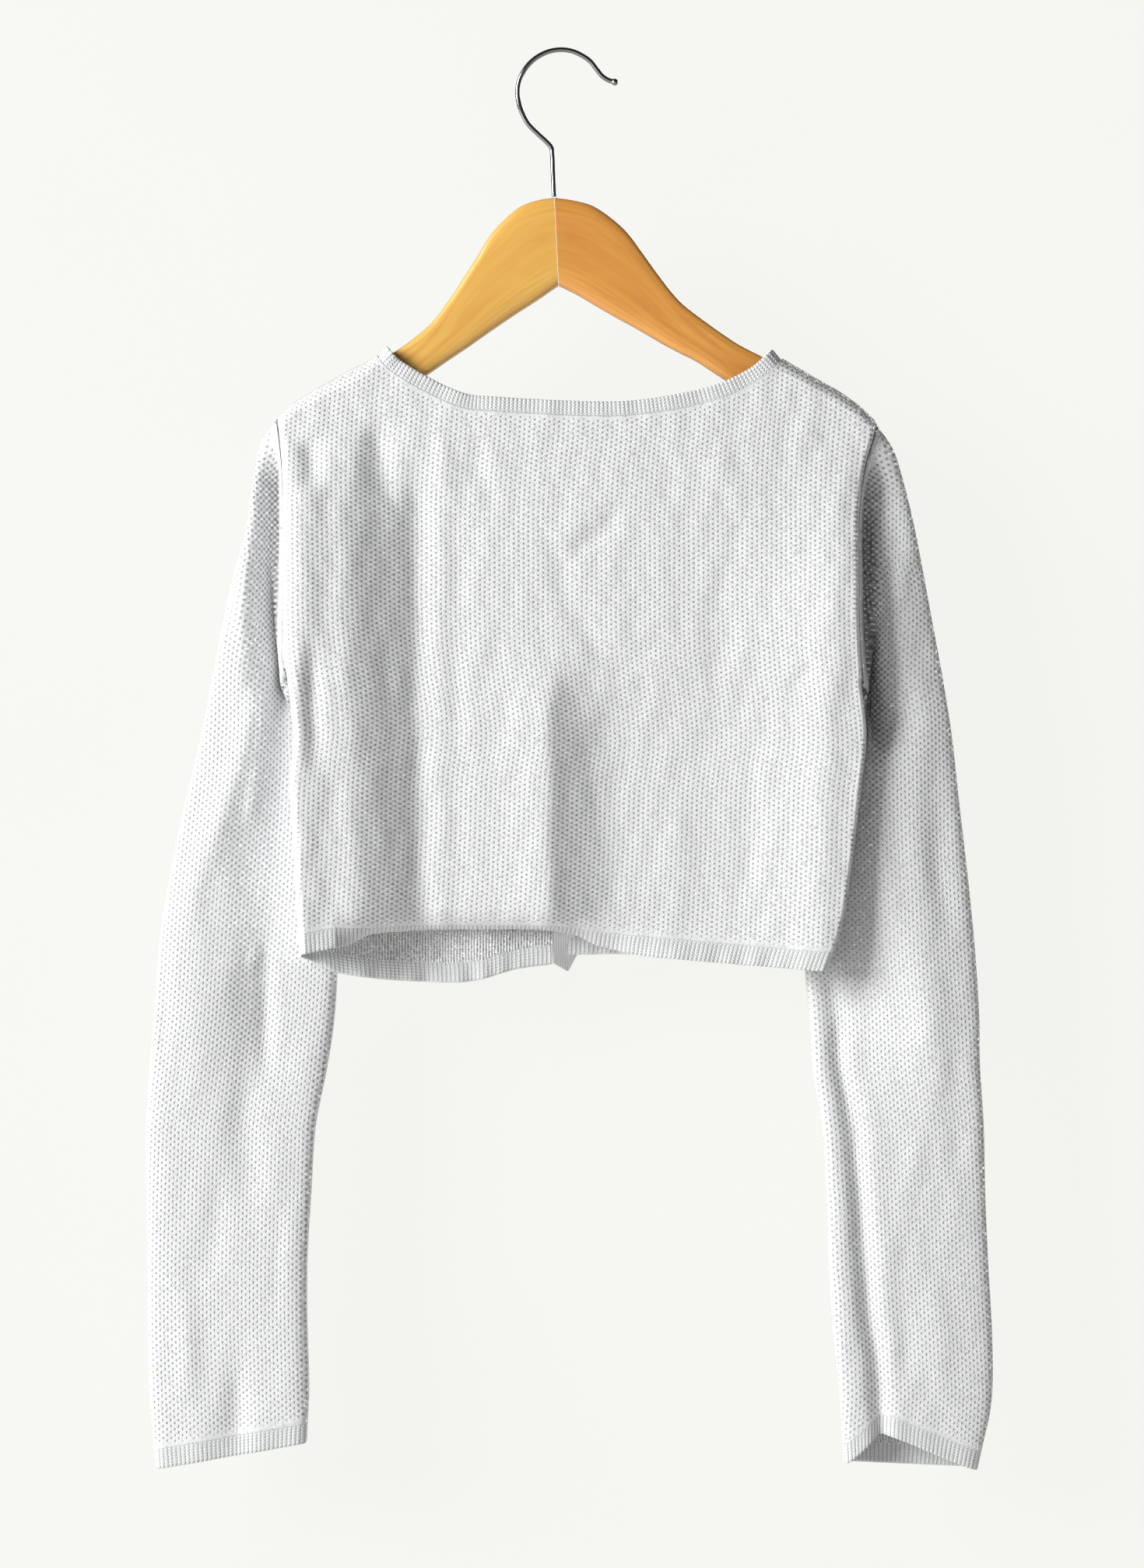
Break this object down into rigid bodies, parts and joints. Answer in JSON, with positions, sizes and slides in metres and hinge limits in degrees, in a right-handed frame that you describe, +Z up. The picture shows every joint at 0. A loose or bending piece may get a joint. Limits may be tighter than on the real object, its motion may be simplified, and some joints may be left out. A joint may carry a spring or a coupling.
{
  "type": "cardigan on a hanger",
  "caption": "Child's cropped long-sleeved cardigan in silver-grey lurex knit with ribbed edges, buttoned and hung on a small wooden hanger.",
  "frame": {"origin": "inner top of the hook's bend, where a rail bears; the hanger and garment hang below it", "axes": "+Z up; the garment's back faces -Y and its buttoned opening faces +Y; +X runs to the wearer's right"},
  "size_m": [0.4902, 0.0553, 0.8224],
  "materials": {
    "silver_grey_knit": "fine tuck-stitch knit with a silver metallic thread",
    "silver_grey_rib": "fine rib knit with a silver metallic thread",
    "varnished_wood": "honey-coloured satin varnish",
    "bright_wire": "bright plated steel wire",
    "pearl_grey_button": "semi-gloss pearl grey"
  },
  "bodies": {
    "root": {"back": "silver_grey_knit", "front_left": "silver_grey_knit", "front_right": "silver_grey_knit", "sleeve_left_upper_arm": "silver_grey_knit", "sleeve_left_lower_arm": "silver_grey_knit", "sleeve_right_upper_arm": "silver_grey_knit", "sleeve_right_lower_arm": "silver_grey_knit", "neckband": "silver_grey_rib", "back_hem": "silver_grey_rib", "front_left_hem": "silver_grey_rib", "front_right_hem": "silver_grey_rib", "cuff_left": "silver_grey_rib", "cuff_right": "silver_grey_rib", "button_band": "silver_grey_knit", "buttonhole_band": "silver_grey_knit", "button_1": "pearl_grey_button", "button_2": "pearl_grey_button", "button_3": "pearl_grey_button", "button_4": "pearl_grey_button", "button_5": "pearl_grey_button", "hanger_arm_left": "varnished_wood", "hanger_arm_right": "varnished_wood", "hook": "bright_wire"}
  },
  "joints": []
}
